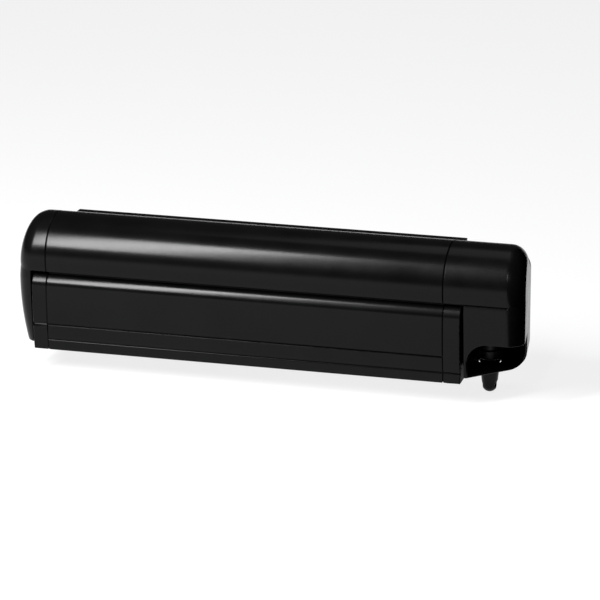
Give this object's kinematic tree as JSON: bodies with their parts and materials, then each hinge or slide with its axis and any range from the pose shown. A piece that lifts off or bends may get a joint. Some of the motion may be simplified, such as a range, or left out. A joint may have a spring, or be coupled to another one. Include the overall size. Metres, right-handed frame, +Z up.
{
  "type": "roll out awning",
  "caption": "Wall-mounted camper awning in a closed black cassette: crank winch, spring roller with canopy, folding arms, lead bar and folding telescopic legs.",
  "frame": {"origin": "centre of the four wall screws, on the wall plane", "axes": "+X along the case to the winch end, +Y into the wall, +Z up"},
  "size_m": [0.4872, 0.104, 0.1477],
  "materials": {
    "case_paint": "satin black powder coat on drawn aluminium",
    "cap_plastic": "fine grained black moulding",
    "arm_paint": "dark grey powder coat",
    "casting": "die casting, tumbled",
    "tube_aluminium": "clear anodised",
    "steel_pin": "turned, zinc plated",
    "worm_steel": "ground",
    "wheel_bronze": "cut bronze",
    "bush_plastic": "natural acetal",
    "canopy_cloth": "coated woven canopy cloth",
    "seal_rubber": "matt",
    "leg_plastic": "moulded",
    "bracket_paint": "satin black powder coat"
  },
  "bodies": {
    "case": {"case_shell": "case_paint", "left_end_cap": "cap_plastic", "right_end_cap": "cap_plastic", "left_end_plate": "casting", "end_plate_screws": "steel_pin", "winch_housing": "casting", "worm_bushes": "bush_plastic", "roller_bushes": "bush_plastic", "wall_brackets": "bracket_paint", "bracket_screws": "steel_pin", "left_shoulder_bracket": "casting", "right_shoulder_bracket": "casting", "shoulder_pins": "steel_pin"},
    "roller": {"roller_tube": "tube_aluminium", "left_roller_plug": "bush_plastic", "right_roller_plug": "bush_plastic", "canopy_roll": "canopy_cloth", "worm_wheel": "wheel_bronze"},
    "crank": {"worm_shaft": "worm_steel", "crank_eye": "cap_plastic"},
    "canopy": {"canopy_fabric": "canopy_cloth"},
    "lead_bar": {"lead_bar": "case_paint", "left_lead_bar_cap": "cap_plastic", "right_lead_bar_cap": "cap_plastic", "lead_bar_seal": "seal_rubber", "canopy_bead": "canopy_cloth", "left_wrist_bracket": "casting", "right_wrist_bracket": "casting", "wrist_pins": "steel_pin", "left_leg_hinge": "casting", "right_leg_hinge": "casting", "leg_pins": "steel_pin"},
    "left_upper_arm": {"left_shoulder_knuckle": "casting", "left_upper_arm": "arm_paint", "left_arm_spring": "worm_steel", "left_elbow_fork": "casting", "left_elbow_pin": "steel_pin"},
    "left_forearm": {"left_elbow_tongue": "casting", "left_forearm": "arm_paint", "left_wrist_knuckle": "casting"},
    "left_leg": {"left_leg_knuckle": "leg_plastic", "left_leg_tube": "tube_aluminium", "left_leg_collar": "leg_plastic"},
    "left_leg_lever": {"left_leg_lever": "leg_plastic"},
    "left_leg_slider": {"left_leg_slider": "tube_aluminium"},
    "left_leg_foot": {"left_leg_foot": "seal_rubber"},
    "right_upper_arm": {"right_shoulder_knuckle": "casting", "right_upper_arm": "arm_paint", "right_arm_spring": "worm_steel", "right_elbow_fork": "casting", "right_elbow_pin": "steel_pin"},
    "right_forearm": {"right_elbow_tongue": "casting", "right_forearm": "arm_paint", "right_wrist_knuckle": "casting"},
    "right_leg": {"right_leg_knuckle": "leg_plastic", "right_leg_tube": "tube_aluminium", "right_leg_collar": "leg_plastic"},
    "right_leg_lever": {"right_leg_lever": "leg_plastic"},
    "right_leg_slider": {"right_leg_slider": "tube_aluminium"},
    "right_leg_foot": {"right_leg_foot": "seal_rubber"}
  },
  "joints": [
    {"name": "left_shoulder", "type": "hinge", "parent": "case", "child": "left_upper_arm", "pos_m": [-0.165, -0.056, -0.021], "axis": [0, 0, -1], "range_deg": [0, 70]},
    {"name": "left_elbow", "type": "hinge", "parent": "left_upper_arm", "child": "left_forearm", "pos_m": [-0.0205, -0.06801, -0.021], "axis": [0, 0, 1], "range_deg": [0, 140]},
    {"name": "left_wrist", "type": "hinge", "parent": "left_forearm", "child": "lead_bar", "pos_m": [-0.165, -0.08001, -0.021], "axis": [0, 0, -1], "range_deg": [0, 70]},
    {"name": "right_shoulder", "type": "hinge", "parent": "case", "child": "right_upper_arm", "pos_m": [0.165, -0.056, -0.021], "axis": [0, 0, 1], "range_deg": [0, 70]},
    {"name": "right_elbow", "type": "hinge", "parent": "right_upper_arm", "child": "right_forearm", "pos_m": [0.0205, -0.06801, -0.021], "axis": [0, 0, -1], "range_deg": [0, 140]},
    {"name": "roller_spin", "type": "hinge", "parent": "case", "child": "roller", "pos_m": [0, -0.0665, 0.0285], "axis": [-1, 0, 0], "range_deg": [0, 588]},
    {"name": "crank_spin", "type": "hinge", "parent": "case", "child": "crank", "pos_m": [0.223, -0.044, -0.06], "axis": [0, 0, -1], "range_deg": [0, 9396]},
    {"name": "canopy_feed", "type": "slide", "parent": "case", "child": "canopy", "axis": [0, -1, 0], "range_m": [0, 0.2559], "deforming": ["canopy_fabric"]},
    {"name": "left_leg_swing", "type": "hinge", "parent": "lead_bar", "child": "left_leg", "pos_m": [-0.181, -0.08825, -0.048], "axis": [0, 1, 0], "range_deg": [0, 90]},
    {"name": "left_leg_extend", "type": "slide", "parent": "left_leg", "child": "left_leg_slider", "axis": [1, 0, 0], "range_m": [0, 0.12]},
    {"name": "left_foot_tilt", "type": "hinge", "parent": "left_leg_slider", "child": "left_leg_foot", "pos_m": [0.035, -0.08825, -0.048], "axis": [0, 1, 0], "range_deg": [-20, 20]},
    {"name": "left_lever_lift", "type": "hinge", "parent": "left_leg", "child": "left_leg_lever", "pos_m": [0.003, -0.08825, -0.0577], "axis": [0, -1, 0], "range_deg": [0, 80]},
    {"name": "right_leg_swing", "type": "hinge", "parent": "lead_bar", "child": "right_leg", "pos_m": [0.181, -0.06875, -0.048], "axis": [0, -1, 0], "range_deg": [0, 90]},
    {"name": "right_leg_extend", "type": "slide", "parent": "right_leg", "child": "right_leg_slider", "axis": [-1, 0, 0], "range_m": [0, 0.12]},
    {"name": "right_foot_tilt", "type": "hinge", "parent": "right_leg_slider", "child": "right_leg_foot", "pos_m": [-0.035, -0.06875, -0.048], "axis": [0, 1, 0], "range_deg": [-20, 20]},
    {"name": "right_lever_lift", "type": "hinge", "parent": "right_leg", "child": "right_leg_lever", "pos_m": [-0.003, -0.06875, -0.0577], "axis": [0, 1, 0], "range_deg": [0, 80]}
  ],
  "couplings": [
    {"joint": "left_elbow", "follows": "left_shoulder", "ratio": 2},
    {"joint": "left_wrist", "follows": "left_shoulder", "ratio": 1},
    {"joint": "right_shoulder", "follows": "left_shoulder", "ratio": 1},
    {"joint": "right_elbow", "follows": "left_shoulder", "ratio": 2},
    {"joint": "roller_spin", "follows": "left_shoulder", "ratio": 8.3742},
    {"joint": "crank_spin", "follows": "left_shoulder", "ratio": 133.99},
    {"joint": "canopy_feed", "follows": "left_shoulder", "m_per_rad": 0.20935}
  ]
}
